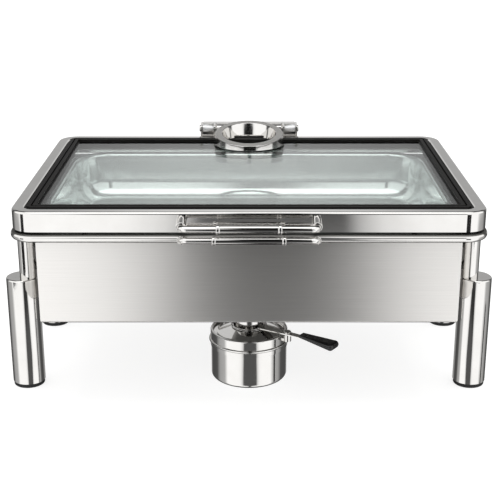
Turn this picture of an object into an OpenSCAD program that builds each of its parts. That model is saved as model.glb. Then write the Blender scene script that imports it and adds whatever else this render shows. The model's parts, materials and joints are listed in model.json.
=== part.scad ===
// Rectangular chafing dish: a glass lid on a rear hinge, a food pan in a water pan,
// a stand on four legs and a fuel burner that stands underneath.
// Front is -Y, up is +Z, and the feet stand on z = 0.

/* [Food pan] */
// Width of the pan over its flange
pan_w = 530; // [500:1:560]
// Depth of the pan over its flange, front to back
pan_d = 325; // [300:1:350]
// Width of the flange round the opening
pan_flange = 12.5; // [10:0.5:16]
// Corner radius of the opening
pan_corner_r = 50; // [40:1:60]
// Inside depth of the food pan
pan_depth = 65; // [40:1:75]
// Sheet of the food pan
pan_sheet = 1; // [0.8:0.1:1.2]
// Slope of the pan walls from the vertical, in degrees
pan_draft = 5; // [3:0.5:7]
// Radius between the pan walls and floor
pan_fillet_r = 30; // [8:1:36]

/* [Water pan] */
// Room for water under the food pan
water_room = 24; // [15:1:30]
// Ledge that carries the flange of the food pan
lip_w = 7.5; // [5:0.5:9]
// Height of the ledge above the rim
lip_h = 12; // [8:0.5:13]
// Radius between the well walls and floor
well_fillet_r = 20; // [10:1:24]
// Height of the rim channel
rim_h = 10.3; // [9:0.1:12]
// How far the rim stands out past the lid
rim_proud = 3; // [2:0.5:5]
// Sheet of the water pan
rim_sheet = 1.2; // [1:0.1:1.4]
// Width of the return under the rim
rim_return = 11; // [9:0.5:13]

/* [Lid] */
// Rim showing past the pan flange at the left and right, inside the lid's outline
lid_margin_x = 25; // [22:0.5:30]
// Rim showing past the pan flange at the front and rear, inside the lid's outline
lid_margin_y = 42.5; // [38:0.5:50]
// Corner radius of the lid
lid_corner_r = 28; // [27:0.5:34]
// Height of the lid's outer wall
lid_wall_h = 25.1; // [24:0.1:34]
// Gap between the lid and the rim
lid_gap = 3; // [2:0.1:4]
// Sheet of the lid frame
lid_sheet = 1.2; // [1:0.1:1.5]
// Edge radius of the lid frame
lid_edge_r = 3; // [2:0.5:4]
// Width of the lid's flat border
lid_border = 16; // [14:0.5:18]
// Depth of the seat of the glass below the border
glass_seat = 8; // [7:0.5:10]
// Thickness of the glass
glass_t = 4; // [3:0.5:5]
// Width of the gasket that shows round the glass
gasket_w = 16.3; // [14:0.5:18]
// How far the gasket grips the edge of the glass
gasket_grip = 8.3; // [6:0.5:9]
// Width of the hem inside the lid's bottom edge
lid_hem = 7; // [6:0.5:9]

/* [Stand] */
// Height of the skirt's lower edge above the table
skirt_z = 118.6; // [110:0.2:130]
// Height of the skirt panels
skirt_h = 122; // [114:0.2:128]
// Sheet of the skirt
skirt_sheet = 1.2; // [1:0.1:1.5]
// Step from the lid's side to the skirt's side
skirt_inset_x = 27.5; // [26:0.5:30]
// Step from the lid's front to the skirt's front
skirt_inset_y = 20; // [19:0.5:24]
// Flange at the top of the skirt
skirt_flange = 9; // [7.5:0.5:10]
// Hem at the bottom of the skirt
skirt_hem = 8; // [6:0.5:12]
// Corner tab that joins two panels
skirt_tab = 15; // [10:1:20]

/* [Legs] */
// Distance between the front and rear legs
leg_pitch = 215; // [180:1:260]
// Stand-off between the skirt and the leg rod
leg_standoff = 16; // [14:0.5:24]
// Radius of the leg rod
rod_r = 11.5; // [9:0.5:12]
// Height of the top of the rod
rod_top_z = 228; // [220:1:230]
// Radius of the foot sleeve
sleeve_r = 21.5; // [21:0.5:24]
// Wall of the foot sleeve
sleeve_wall = 1.5; // [1:0.1:2]
// Height of the top of the sleeve
sleeve_top_z = 153.6; // [140:0.2:156]
// Step from the rod's axis out to the sleeve's axis
sleeve_step = 8; // [6:0.5:8]
// Height of the rubber foot under the sleeve
foot_h = 6; // [4:0.5:9]
// Step from the sleeve's side in to the foot's side
foot_step = 1; // [0.5:0.1:2]
// Radius of the leg bolts
bolt_r = 3; // [2.5:0.5:4]
// Height of the lower leg bolt
bolt_z = 168; // [166:1:172]
// Distance between the two bolts of a leg
bolt_pitch = 30; // [22:1:34]

/* [Handles] */
// Half the distance between the two posts of a handle
post_x = 81; // [60:1:100]
// Radius of the lid handle's posts
lid_post_r = 6; // [5.5:0.5:7]
// Radius of the pan handle's posts
pan_post_r = 5; // [4.8:0.1:5.1]
// Radius of the handle bars
bar_r = 4; // [3:0.5:4.2]
// Radius of the bends at the ends of the bars, at their middle line
bar_bend = 7; // [5:0.5:9]
// Radius of the grips on the bars
grip_r = 5; // [4.8:0.1:5.5]
// Half the length of the lid handle's grip
lid_grip_half = 39; // [30:1:45]
// Half the length of the pan handle's grip
pan_grip_half = 44; // [30:1:48]
// How far the lid's handle bar stands out from the lid
lid_reach = 30; // [28:1:36]
// How far the lid's handle bar lies below the lid's top
lid_bar_drop = 12; // [10:0.5:13]
// How far the lid's posts start below the lid's top
lid_post_drop = 9.5; // [9.5:0.5:12]
// How far the pan's handle bar stands out from the rim
pan_reach = 26; // [22:1:30]
// How far the pan's posts rise along their length
pan_rise = 7; // [3:0.5:8]
// Radius of the handle screws
handle_screw_r = 1.5; // [1:0.1:1.5]

/* [Hinge] */
// Hinge axis behind the rear of the lid
hinge_back = 14; // [13:0.5:18]
// Hinge axis above the top of the lid
hinge_up = 9; // [8.5:0.5:12]
// Half the width of the hinge
hinge_half = 75; // [72:1:90]
// Width of each end housing
housing_w = 23; // [20:0.5:23]
// Wall of the end housings
housing_wall = 3; // [2.5:0.5:4]
// Front of the housings ahead of the axis
housing_front = 10.5; // [9.5:0.5:11]
// Top of the housings above the axis
housing_up = 6; // [5.5:0.5:8]
// Bottom of the housings below the axis
housing_down = 17; // [14:0.5:24]
// Outside of the back plate behind the rear of the lid
plate_back = 36; // [35:0.5:42]
// Thickness of the bracket plate
plate_t = 2.5; // [2:0.1:3]
// Radius of the hinge pin
pin_r = 3; // [2.5:0.5:3.5]
// Radius of the lid's knuckles
knuckle_r = 6; // [5.5:0.5:6.5]
// Thickness of the arm plate on the lid
arm_t = 4; // [3:0.5:4.5]
// Half the width of the arm plate
arm_half = 44; // [42:0.5:46]
// Radius of the hinge's small screws
screw_r = 2; // [1.5:0.5:2]

/* [Slanted ring] */
// Outer diameter of the ring
ring_od = 105; // [96:1:108]
// Inner diameter of the ring
ring_id = 81; // [70:1:86]
// Ring centre ahead of the rear of the lid
ring_inset = 48.5; // [48.5:0.5:60]
// Height of the ring at its front
ring_front_h = 7.4; // [6:0.2:9]
// Slope of the top of the ring, in degrees
ring_slope = 8.9; // [7:0.1:9]

/* [Burner] */
// Burner centre behind the front of the lid
burner_inset = 126; // [110:1:200]
// Radius of the burner cup
cup_r = 51.5; // [46:0.5:54]
// Height of the cup's wall
cup_h = 54; // [46:1:58]
// Sheet of the burner
cup_sheet = 1; // [0.8:0.1:1.2]
// Height of the collar above the cup
collar_h = 15; // [13:0.5:18]
// Depth of the cone's foot below the collar's top
cone_sink = 4; // [2:0.5:6]
// Height of the cone over the collar
cone_h = 6.5; // [4:0.5:9]
// Radius at the foot of the cone
cone_foot_r = 42; // [36:0.5:42]
// Radius at the top of the cone
cone_top_r = 23; // [21:0.5:24]
// Radius of the flame opening
flame_r = 20; // [15:0.5:20]
// Direction of the damper's arm, in degrees from the right
arm_angle = -34; // [-80:1:0]
// Distance of the damper's pivot from the burner's centre
pivot_reach = 62; // [60:0.5:70]
// Radius of the damper's cap
cap_r = 22; // [21:0.5:24]
// Brim round the damper's cap
cap_brim = 2.5; // [2:0.5:4]
// Height of the damper's cap
cap_h = 18; // [12:0.5:22]
// Distance from the pivot to the grip
grip_start = 20; // [16:0.5:30]
// Length of the damper's grip
grip_len = 54; // [40:1:70]
// Width of the grip where it starts
grip_w0 = 11; // [10:0.5:13]
// Width of the grip at its end
grip_w1 = 22; // [16:0.5:24]
// Thickness of the grip where it starts
grip_t0 = 3.4; // [3:0.2:5]
// Thickness of the grip at its end
grip_t1 = 10; // [8:0.5:12]

/* [Fits] */
// Radial clearance of parts that turn
run_clear = 0.06; // [0.03:0.01:0.1]
// Radial clearance of parts that are fixed
fix_clear = 0.03; // [0.02:0.01:0.05]
// Clearance of screws in their holes
hole_clear = 0.1; // [0.05:0.05:0.2]
// Gap between flat faces that part or slide
face_clear = 0.2; // [0.1:0.05:0.3]

/* [Hidden] */
$fn = 96;
far = 1000;
over = 1;

// Heights, from the table up
stand_top_z = skirt_z + skirt_h;
land_z = stand_top_z + face_clear;
rim_top_z = land_z + rim_sheet;
rim_bottom_z = rim_top_z - rim_h;
lip_top_z = rim_top_z + lip_h;
pan_top_z = lip_top_z + pan_sheet;
pan_floor_z = pan_top_z - pan_depth;
well_floor_z = pan_floor_z - pan_sheet - water_room;
lid_bottom_z = rim_top_z + lid_gap;
lid_top_z = lid_bottom_z + lid_wall_h;
seat_z = lid_top_z - glass_seat;

// Plans of the lid, rim, pans and skirt
lid_w = pan_w + 2 * lid_margin_x;
lid_d = pan_d + 2 * lid_margin_y;
rim_w = lid_w + 2 * rim_proud;
rim_d = lid_d + 2 * rim_proud;
rim_corner_r = lid_corner_r + rim_proud;
rim_edge_r = 4.5;
pan_open_w = pan_w - 2 * pan_flange;
pan_open_d = pan_d - 2 * pan_flange;
well_w = pan_w - 2 * lip_w;
well_d = pan_d - 2 * lip_w;
well_corner_r = pan_corner_r + pan_flange - lip_w;
skirt_w = lid_w - 2 * skirt_inset_x;
skirt_d = lid_d - 2 * skirt_inset_y;
skirt_bend_r = 3;
bend_r = 3;

// Glass, gasket and its two ribs
lip_t = (glass_seat - glass_t) / 2;
glass_inset = lid_border + gasket_w - gasket_grip;
glass_z = seat_z + lip_t;
glass_corner_r = 4;
seat_w = 10;
rib_h = 1;
rib_w = 5;
rib_gap = 2;
gasket_drop = 0.4;
gasket_top_z = lid_top_z - gasket_drop;

// Legs
rod_x = skirt_w / 2 + leg_standoff + rod_r;
sleeve_x = rod_x + sleeve_step;
leg_y = leg_pitch / 2;
rod_dome_r = 4;
sleeve_edge_r = 2.5;
foot_r = sleeve_r - foot_step;
foot_edge_r = 1.5;
plug_h = 12;
spacer_r = 5;
bolt_head_r = 5;
bolt_head_h = 3;
bolt_grip = 6;
CORNERS = [[-1, -1], [1, -1], [-1, 1], [1, 1]];

// Screw heads
head_ratio = 1.75;

// Handles
lid_front_y = -lid_d / 2;
rim_front_y = -rim_d / 2;
lid_bar = [lid_front_y - lid_reach, lid_top_z - lid_bar_drop];
lid_post = [lid_front_y, lid_top_z - lid_post_drop];
pan_post = [rim_front_y, (rim_top_z + rim_bottom_z) / 2];
pan_bar = [rim_front_y - pan_reach, pan_post.y + pan_rise];
lid_wall = [lid_bottom_z, lid_top_z, lid_edge_r];
rim_wall = [rim_bottom_z, rim_top_z, rim_edge_r];
bar_tail = 6;
post_edge_r = 0.8;
post_root = 2;
grip_collar_w = 4;
grip_collar_h = 0.8;
handle_head_h = 2.2;
handle_head_r = head_ratio * handle_screw_r;
handle_screw_len = 10;
rim_inner_r = rim_edge_r - rim_sheet;
rim_flat = rim_h - 2 * rim_edge_r;
// Room between the rim's curved inside and the edge of a screw head
rim_head_in = rim_inner_r - sqrt(pow(rim_inner_r, 2) - pow(handle_head_r - rim_flat / 2, 2)) + face_clear;

// Hinge
hinge_y = lid_d / 2 + hinge_back;
hinge_z = lid_top_z + hinge_up;
plate_y = lid_d / 2 + plate_back;
tongue_y = rim_d / 2 - rim_return;
housing_y0 = hinge_y - housing_front;
housing_y1 = plate_y - plate_t;
housing_top_z = hinge_z + housing_up;
housing_bottom_z = hinge_z - housing_down;
housing_in_x = hinge_half - housing_w;
plate_corner_r = 5;
knuckle_x1 = housing_in_x - 2;
knuckle_x0 = 14;
housing_edge_r = 2;
damper_r = 6;
damper_nose_r = 3.6;
damper_nose_len = 12;
pin_cap_r = 5;
pin_cap_h = 2;
arm_y0 = lid_d / 2 - lid_border;
arm_screw_y = lid_d / 2 - lid_border / 2;
arm_screw_x = [-30, 0, 30];
arm_screw_len = arm_t + 4;
bracket_screw_x = [-55, -20, 20, 55];
bracket_screw_y = (tongue_y + rim_d / 2) / 2;
bracket_screw_len = 4;
housing_screw_x = hinge_half - housing_w / 2;
housing_screw_up = 6;
housing_screw_z = housing_bottom_z + housing_screw_up;
housing_screw_dx = 5;
housing_screw_len = 7;
pocket_clear = 1.5;
flange_x = housing_in_x - face_clear;
flange_y = hinge_y + damper_r + pocket_clear;
seam = 0.5;

// Slanted ring
ring_y = lid_d / 2 - ring_inset;
seal_step = 1;
seal_gap = 0.7;
seal_rear_y = lid_d / 2 - lid_border - gasket_w - seal_gap;

// Lid bumpers
bumper_r = 2.6;
bumper_x = 200;

// Burner, about its own centre
burner_y = lid_front_y + burner_inset;
cup_edge_r = 5;
collar_z0 = cup_h - 8;
collar_z1 = cup_h + collar_h;
collar_r0 = cup_r + fix_clear;
collar_r1 = collar_r0 + cup_sheet;
collar_bead_r = 2;
collar_lip_w = 3;
collar_edge_r = 1.9;
cone_z = collar_z1 - cup_sheet - cone_sink;
cone_rim_r = cup_r - collar_lip_w;
cone_top_z = cone_z + cone_h + cup_sheet;
brim_z = cone_top_z + 2.5 * face_clear;
brim_t = 1.2;
arm_z = brim_z + brim_t;
damper_arm_t = 1.6;
damper_arm_w0 = 16;
damper_arm_w1 = 8;
cap_edge_r = 3;
pivot_r = 2.5;
boss_r = 5;
boss_h = 9.5;
boss_top_z = arm_z - face_clear;
pivot_depth = 8;
pivot_head_r = 5;
pivot_head_h = 3;
pivot_head_z = arm_z + damper_arm_t + face_clear;
tang_len = 24;
tang_room = 0.1;
grip_x0 = pivot_reach + grip_start;
grip_x1 = grip_x0 + grip_len;
grip_top_z = arm_z + damper_arm_t + tang_room + grip_t0;
rivet_r = 1.5;
rivet_in = 11;
rivet_sink = 0.5;
rivet_x = grip_x0 + rivet_in;

// Outline with round corners between two opposite corners
module round_box(a, b, r) {
    translate([a.x + r, a.y]) square([b.x - a.x - 2 * r, b.y - a.y]);
    translate([a.x, a.y + r]) square([b.x - a.x, b.y - a.y - 2 * r]);
    for (x = [a.x + r, b.x - r], y = [a.y + r, b.y - r])
        translate([x, y]) circle(r);
}

// Outline with round corners about the centre
module plan(w, d, r) {
    round_box([-w / 2, -d / 2], [w / 2, d / 2], r);
}

// A profile carried round a rounded rectangle, its x axis pointing outwards from the outline
module swept(w, d, r) {
    for (i = [0:3]) {
        run = i % 2 == 0 ? w : d;
        off = (i % 2 == 0 ? d : w) / 2;
        rotate([0, 0, 90 * i]) {
            translate([r - run / 2, off, 0])
                rotate([90, 0, 90]) linear_extrude(run - 2 * r) children();
            translate([run / 2 - r, off - r, 0])
                rotate_extrude(angle = 90) translate([r, 0]) children();
        }
    }
}

// Part of a bent sheet: inner radius r, sheet t, from angle a0 to a1
module bend(r, t, a0, a1) {
    reach = 2 * (r + t);
    mid = (a0 + a1) / 2;
    intersection() {
        difference() {
            circle(r + t);
            circle(r);
        }
        polygon([[0, 0], for (a = [a0, mid, a1]) reach * [cos(a), sin(a)]]);
    }
}

// A round bar along Z with one rounded end, the upper one
module turned(r, z0, z1, edge) {
    rotate_extrude() intersection() {
        round_box([-r, z0 - 2 * edge], [r, z1], edge);
        translate([0, z0]) square([r, z1 - z0]);
    }
}

// Pressed pan wall with a bent top edge and a filleted foot, starting at the opening's outline
function wall_run(z0, zf, fillet, draft) = (z0 - zf - fillet * (1 - sin(draft))) / cos(draft);
function wall_foot(z0, zf, fillet, draft) =
    wall_run(z0, zf, fillet, draft) * sin(draft) + fillet * cos(draft);

module pan_wall(top_z, floor_z, sheet, draft, fillet, flange) {
    outer = bend_r + sheet;
    z0 = top_z - outer * (1 - sin(draft));
    run = wall_run(z0, floor_z, fillet, draft);
    foot = wall_foot(z0, floor_z, fillet, draft);
    out = sheet * [cos(draft), -sin(draft)];
    start = [0, z0];
    end = start - run * [sin(draft), cos(draft)];
    polygon([start, end, end + out, start + out]);
    translate([-foot, floor_z + fillet]) bend(fillet, sheet, -90, -draft);
    translate([outer * cos(draft), top_z - outer]) bend(bend_r, sheet, 90, 180 - draft);
    translate([outer * cos(draft), top_z - sheet]) square([flange - outer * cos(draft), sheet]);
}

module pan_body(w, d, r, top_z, floor_z, sheet, draft, fillet, flange) {
    z0 = top_z - (bend_r + sheet) * (1 - sin(draft));
    foot = wall_foot(z0, floor_z, fillet, draft);
    swept(w, d, r) pan_wall(top_z, floor_z, sheet, draft, fillet, flange);
    translate([0, 0, floor_z - sheet])
        linear_extrude(sheet) plan(w - 2 * foot, d - 2 * foot, r - foot);
}

// Holes or shanks along Y at the two posts of a handle
module at_posts() {
    for (s = [-1, 1]) translate([s * post_x, 0, 0]) children();
}

// Countersunk screw along +Z with its flat head at z = 0 and its shank below
module sunk_screw(r, len) {
    rotate_extrude()
        polygon([[0, 0], [2 * r, 0], [r, -r], [r, -len], [0, -len]]);
}

// Round-headed screw along +Z, its head below z = 0 and its shank above
module headed_screw(r, len, head_r, head_h) {
    mirror([0, 0, 1]) turned(head_r, 0, head_h, head_h / 2);
    cylinder(r = r, h = len);
}

// Stand

module skirt_profile() {
    intersection() {
        difference() {
            round_box([-4 * skirt_hem, skirt_z], [0, 2 * far], skirt_bend_r);
            round_box([-8 * skirt_hem, skirt_z + skirt_sheet], [-skirt_sheet, 2 * far],
                skirt_bend_r - skirt_sheet);
        }
        translate([-skirt_hem, skirt_z]) square([skirt_hem, skirt_h]);
    }
    translate([-skirt_sheet, stand_top_z - skirt_sheet])
        square([skirt_sheet + skirt_flange, skirt_sheet]);
}

// A panel's sheet, its outer face at y = off, with the hem mitred towards the two corners
module skirt_run(off, run, corner) {
    cut = 2 * skirt_hem;
    edge = corner - face_clear;
    difference() {
        translate([-run / 2, off, 0]) rotate([90, 0, 90]) linear_extrude(run) skirt_profile();
        for (s = [0, 1]) mirror([s, 0, 0]) translate([0, 0, skirt_z - over])
            linear_extrude(skirt_bend_r + over)
                polygon([[edge, off], [edge - cut, off - cut], [corner + cut, off - cut],
                    [corner + cut, off]]);
    }
}

module long_panel() {
    skirt_run(skirt_d / 2, skirt_w, skirt_w / 2);
}

module end_panel() {
    run = skirt_d - 2 * skirt_sheet;
    tab_gap = 6;
    rotate([0, 0, -90]) difference() {
        union() {
            skirt_run(skirt_w / 2, run, skirt_d / 2);
            for (s = [-1, 1])
                translate([s * (run - skirt_sheet) / 2, skirt_w / 2 - skirt_tab / 2,
                    skirt_z + skirt_hem + tab_gap + (skirt_h - 2 * (skirt_hem + tab_gap)) / 2])
                    cube([skirt_sheet, skirt_tab, skirt_h - 2 * (skirt_hem + tab_gap)], center = true);
        }
        for (s = [-1, 1], z = [bolt_z, bolt_z + bolt_pitch])
            translate([s * leg_y, skirt_w / 2, z])
                rotate([90, 0, 0]) cylinder(r = bolt_r + hole_clear, h = 4 * skirt_sheet, center = true);
    }
}

module front_panel() {
    color("silver") rotate([0, 0, 180]) long_panel();
}

module rear_panel() {
    color("silver") long_panel();
}

module right_panel() {
    color("silver") end_panel();
}

module left_panel() {
    color("silver") rotate([0, 0, 180]) end_panel();
}

// Round bar along X through the two bolt heights of a leg, from x0 to x1 on the side of the corner
module leg_crossbars(corner, r, x0, x1) {
    for (z = [bolt_z, bolt_z + bolt_pitch])
        translate([corner.x * x0, corner.y * leg_y, z])
            rotate([0, corner.x * 90, 0]) cylinder(r = r, h = x1 - x0);
}

module leg_rod(corner) {
    color("gainsboro") difference() {
        translate([corner.x * rod_x, corner.y * leg_y, 0])
            turned(rod_r, foot_h + plug_h, rod_top_z, rod_dome_r);
        leg_crossbars(corner, bolt_r + fix_clear, rod_x - 2 * rod_r, rod_x - rod_r + bolt_grip + over);
    }
}

module leg_sleeve(corner) {
    color("gainsboro") difference() {
        translate([corner.x * sleeve_x, corner.y * leg_y, 0]) difference() {
            turned(sleeve_r, foot_h, sleeve_top_z, sleeve_edge_r);
            translate([0, 0, -far])
                cylinder(r = sleeve_r - sleeve_wall, h = far + sleeve_top_z - sleeve_wall);
        }
        translate([corner.x * rod_x, corner.y * leg_y, 0])
            cylinder(r = rod_r + fix_clear, h = 2 * sleeve_top_z);
    }
}

module foot_pad(corner) {
    color("#1c1c1e") translate([corner.x * sleeve_x, corner.y * leg_y, 0]) {
        mirror([0, 0, 1]) turned(foot_r, -foot_h, 0, foot_edge_r);
        translate([0, 0, foot_h]) cylinder(r = sleeve_r - sleeve_wall - fix_clear, h = plug_h);
    }
}

module leg_spacers() {
    color("gainsboro") for (corner = CORNERS) difference() {
        leg_crossbars(corner, spacer_r, skirt_w / 2, rod_x);
        leg_crossbars(corner, bolt_r + hole_clear, 0, rod_x + rod_r);
        translate([corner.x * rod_x, corner.y * leg_y, 0])
            cylinder(r = rod_r + fix_clear, h = 2 * stand_top_z);
    }
}

module leg_bolts() {
    inside = skirt_w / 2 - skirt_sheet;
    color("lightgray") for (corner = CORNERS) {
        leg_crossbars(corner, bolt_r, inside, rod_x - rod_r + bolt_grip);
        for (z = [bolt_z, bolt_z + bolt_pitch])
            translate([corner.x * inside, corner.y * leg_y, z])
                rotate([0, -corner.x * 90, 0]) turned(bolt_head_r, 0, bolt_head_h, bolt_head_h / 3);
    }
}

// Water pan and food pan

module rim_profile() {
    difference() {
        round_box([-4 * rim_return, rim_bottom_z], [0, rim_top_z], rim_edge_r);
        round_box([-6 * rim_return, rim_bottom_z + rim_sheet], [-rim_sheet, land_z],
            rim_edge_r - rim_sheet);
        translate([-6 * rim_return, 0]) square([6 * rim_return - 2 * rim_edge_r, far]);
    }
    translate([-rim_return, rim_bottom_z]) square([rim_return - rim_edge_r, rim_sheet]);
}

module water_pan() {
    lip_corner_r = well_corner_r + lip_w;
    color("gainsboro") difference() {
        union() {
            swept(rim_w, rim_d, rim_corner_r) rim_profile();
            translate([0, 0, land_z]) linear_extrude(rim_sheet) difference() {
                plan(rim_w - 2 * rim_edge_r, rim_d - 2 * rim_edge_r, rim_corner_r - rim_edge_r);
                plan(pan_w - 2 * rim_sheet, pan_d - 2 * rim_sheet, lip_corner_r - rim_sheet);
            }
            translate([0, 0, land_z]) linear_extrude(lip_top_z - land_z) difference() {
                plan(pan_w, pan_d, lip_corner_r);
                plan(pan_w - 2 * rim_sheet, pan_d - 2 * rim_sheet, lip_corner_r - rim_sheet);
            }
            pan_body(well_w, well_d, well_corner_r, lip_top_z, well_floor_z, rim_sheet,
                pan_draft, well_fillet_r, lip_w);
        }
        at_posts() translate([0, rim_front_y, pan_post.y])
            rotate([90, 0, 0]) cylinder(r = handle_screw_r + hole_clear, h = 6 * rim_sheet, center = true);
        for (x = bracket_screw_x)
            translate([x, bracket_screw_y, rim_bottom_z])
                cylinder(r = screw_r + hole_clear, h = 4 * rim_sheet, center = true);
    }
}

module food_pan() {
    color("whitesmoke")
        pan_body(pan_open_w, pan_open_d, pan_corner_r, pan_top_z, pan_floor_z, pan_sheet,
            pan_draft, pan_fillet_r, pan_flange);
}

// Handles: a bent bar in two posts, with a grip on its middle.
// A post or bar place is [y, z].

// Children placed with Z along a handle's posts and z = 0 at their foot
module along_posts(base, bar) {
    tilt = atan2(base.x - bar.x, bar.y - base.y);
    translate([0, base.x, base.y]) rotate([tilt, 0, 0]) children();
}

module handle_bar(base, bar) {
    run = norm(bar - base);
    straight = post_x - bar_bend;
    color("gainsboro") along_posts(base, bar) {
        translate([-straight, 0, run]) rotate([0, 90, 0]) cylinder(r = bar_r, h = 2 * straight);
        for (s = [0, 1]) mirror([s, 0, 0]) translate([straight, 0, run - bar_bend]) {
            rotate([90, 0, 0]) rotate_extrude(angle = 90) translate([bar_bend, 0]) circle(bar_r);
            translate([bar_bend, 0, -bar_tail]) cylinder(r = bar_r, h = bar_tail);
        }
    }
}

module handle_grip(bar, half) {
    color("gainsboro") translate([0, bar.x, bar.y]) rotate([0, 90, 0]) rotate_extrude() difference() {
        union() {
            translate([0, -half]) square([grip_r, 2 * half]);
            for (s = [-1, 1])
                translate([0, s * (half - grip_collar_w / 2) - grip_collar_w / 2])
                    square([grip_r + grip_collar_h, grip_collar_w]);
        }
        translate([0, -2 * half]) square([bar_r + fix_clear, 4 * half]);
    }
}

// The wall that a post stands on goes from height wall[0] to wall[1], with round edges wall[2]
module handle_post(side, base, bar, r, wall) {
    run = norm(bar - base);
    color("gainsboro") translate([side * post_x, 0, 0]) difference() {
        along_posts(base, bar) turned(r, -post_root, run - bar_bend, post_edge_r);
        translate([-2 * r, 0, 0]) rotate([90, 0, 90]) linear_extrude(4 * r)
            round_box([base.x - fix_clear, wall[0] - fix_clear],
                [base.x + far, wall[1] + fix_clear], wall[2] + fix_clear);
        // The socket of the bar
        along_posts(base, bar) translate([0, 0, run - bar_bend - bar_tail])
            cylinder(r = bar_r + fix_clear, h = run);
        // The screw hole
        translate([0, base.x, base.y]) rotate([90, 0, 0])
            cylinder(r = handle_screw_r + fix_clear, h = handle_screw_len);
    }
}

module handle_screws(base, sheet) {
    color("lightgray") at_posts() translate([0, base.x + sheet, base.y])
        rotate([90, 0, 0]) headed_screw(handle_screw_r, handle_screw_len, handle_head_r, handle_head_h);
}

module pan_handle_bar() {
    handle_bar(pan_post, pan_bar);
}

module pan_handle_grip() {
    handle_grip(pan_bar, pan_grip_half);
}

module pan_handle_post_left() {
    handle_post(-1, pan_post, pan_bar, pan_post_r, rim_wall);
}

module pan_handle_post_right() {
    handle_post(1, pan_post, pan_bar, pan_post_r, rim_wall);
}

module pan_handle_screws() {
    handle_screws(pan_post, rim_sheet + rim_head_in);
}

module lid_handle_bar() {
    handle_bar(lid_post, lid_bar);
}

module lid_handle_grip() {
    handle_grip(lid_bar, lid_grip_half);
}

module lid_handle_post_left() {
    handle_post(-1, lid_post, lid_bar, lid_post_r, lid_wall);
}

module lid_handle_post_right() {
    handle_post(1, lid_post, lid_bar, lid_post_r, lid_wall);
}

module lid_handle_screws() {
    handle_screws(lid_post, lid_sheet);
}

// Hinge

module hinge_bracket() {
    color("gainsboro") difference() {
        union() {
            translate([-hinge_half, tongue_y, rim_bottom_z - plate_t])
                cube([2 * hinge_half, plate_y - tongue_y, plate_t]);
            translate([0, plate_y, 0]) rotate([90, 0, 0]) linear_extrude(plate_t) intersection() {
                round_box([-hinge_half, 0], [hinge_half, housing_top_z], plate_corner_r);
                translate([-hinge_half, rim_bottom_z - plate_t])
                    square([2 * hinge_half, housing_top_z - rim_bottom_z + plate_t]);
            }
            // The plate's top is folded forward between the housings
            translate([-flange_x, flange_y, housing_top_z - plate_t])
                cube([2 * flange_x, plate_y - plate_t - flange_y + seam, plate_t]);
        }
        for (x = bracket_screw_x)
            translate([x, bracket_screw_y, rim_bottom_z])
                cylinder(r = screw_r + hole_clear, h = 4 * plate_t, center = true);
        housing_screw_places() {
            sunk_screw(screw_r + hole_clear, 4 * plate_t);
            cylinder(r = 2 * (screw_r + hole_clear), h = plate_t);
        }
    }
}

// Places of the screws that hold the housings, their heads flush with the back plate
module housing_screw_places() {
    for (s = [-1, 1], d = [-1, 1])
        translate([s * housing_screw_x + d * housing_screw_dx, plate_y, housing_screw_z])
            rotate([-90, 0, 0]) children();
}

module hinge_housing(side) {
    pocket = housing_w - 2 * housing_wall;
    pocket_z = hinge_z - damper_r - pocket_clear;
    pocket_in = housing_front + damper_r + pocket_clear;
    color("silver") difference() {
        translate([side * housing_screw_x - housing_w / 2, 0, 0])
            rotate([90, 0, 90]) linear_extrude(housing_w) intersection() {
                round_box([housing_y0, housing_bottom_z - 4 * housing_edge_r],
                    [housing_y1 + 4 * housing_edge_r, housing_top_z], housing_edge_r);
                translate([housing_y0, housing_bottom_z])
                    square([housing_y1 - housing_y0, housing_top_z - housing_bottom_z]);
            }
        // The pocket of the damper, open at the front and the top
        translate([side * housing_screw_x - pocket / 2, housing_y0 - over, pocket_z])
            cube([pocket, pocket_in + over, far]);
        translate([0, hinge_y, hinge_z]) rotate([0, 90, 0])
            cylinder(r = pin_r + fix_clear, h = 2 * far, center = true);
        housing_screw_places() translate([0, 0, -plate_t - housing_screw_len])
            cylinder(r = screw_r + fix_clear, h = housing_screw_len + plate_t);
    }
}

module hinge_housing_left() {
    hinge_housing(-1);
}

module hinge_housing_right() {
    hinge_housing(1);
}

module hinge_pin() {
    color("lightgray") translate([-hinge_half, hinge_y, hinge_z])
        rotate([0, 90, 0]) cylinder(r = pin_r, h = 2 * hinge_half);
}

module hinge_pin_caps() {
    color("gainsboro") for (s = [-1, 1])
        translate([s * hinge_half, hinge_y, hinge_z])
            rotate([0, s * 90, 0]) turned(pin_cap_r, 0, pin_cap_h, pin_cap_h / 2);
}

// Rotary damper on the pin, its cone towards the middle of the hinge
module hinge_damper(side) {
    x0 = housing_in_x + housing_wall + face_clear;
    x1 = hinge_half - housing_wall - face_clear;
    color("dimgray") translate([0, hinge_y, hinge_z]) rotate([0, side * 90, 0]) rotate_extrude()
        polygon([[pin_r + fix_clear, x0], [damper_nose_r, x0], [damper_r, x0 + damper_nose_len],
            [damper_r, x1], [pin_r + fix_clear, x1]]);
}

module hinge_damper_left() {
    hinge_damper(-1);
}

module hinge_damper_right() {
    hinge_damper(1);
}

module bracket_screws() {
    color("lightgray") for (x = bracket_screw_x)
        translate([x, bracket_screw_y, rim_bottom_z - plate_t])
            headed_screw(screw_r, plate_t + bracket_screw_len, head_ratio * screw_r, screw_r);
}

module housing_screws() {
    color("lightgray") housing_screw_places() sunk_screw(screw_r, plate_t + housing_screw_len - over);
}

// Lid

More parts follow.
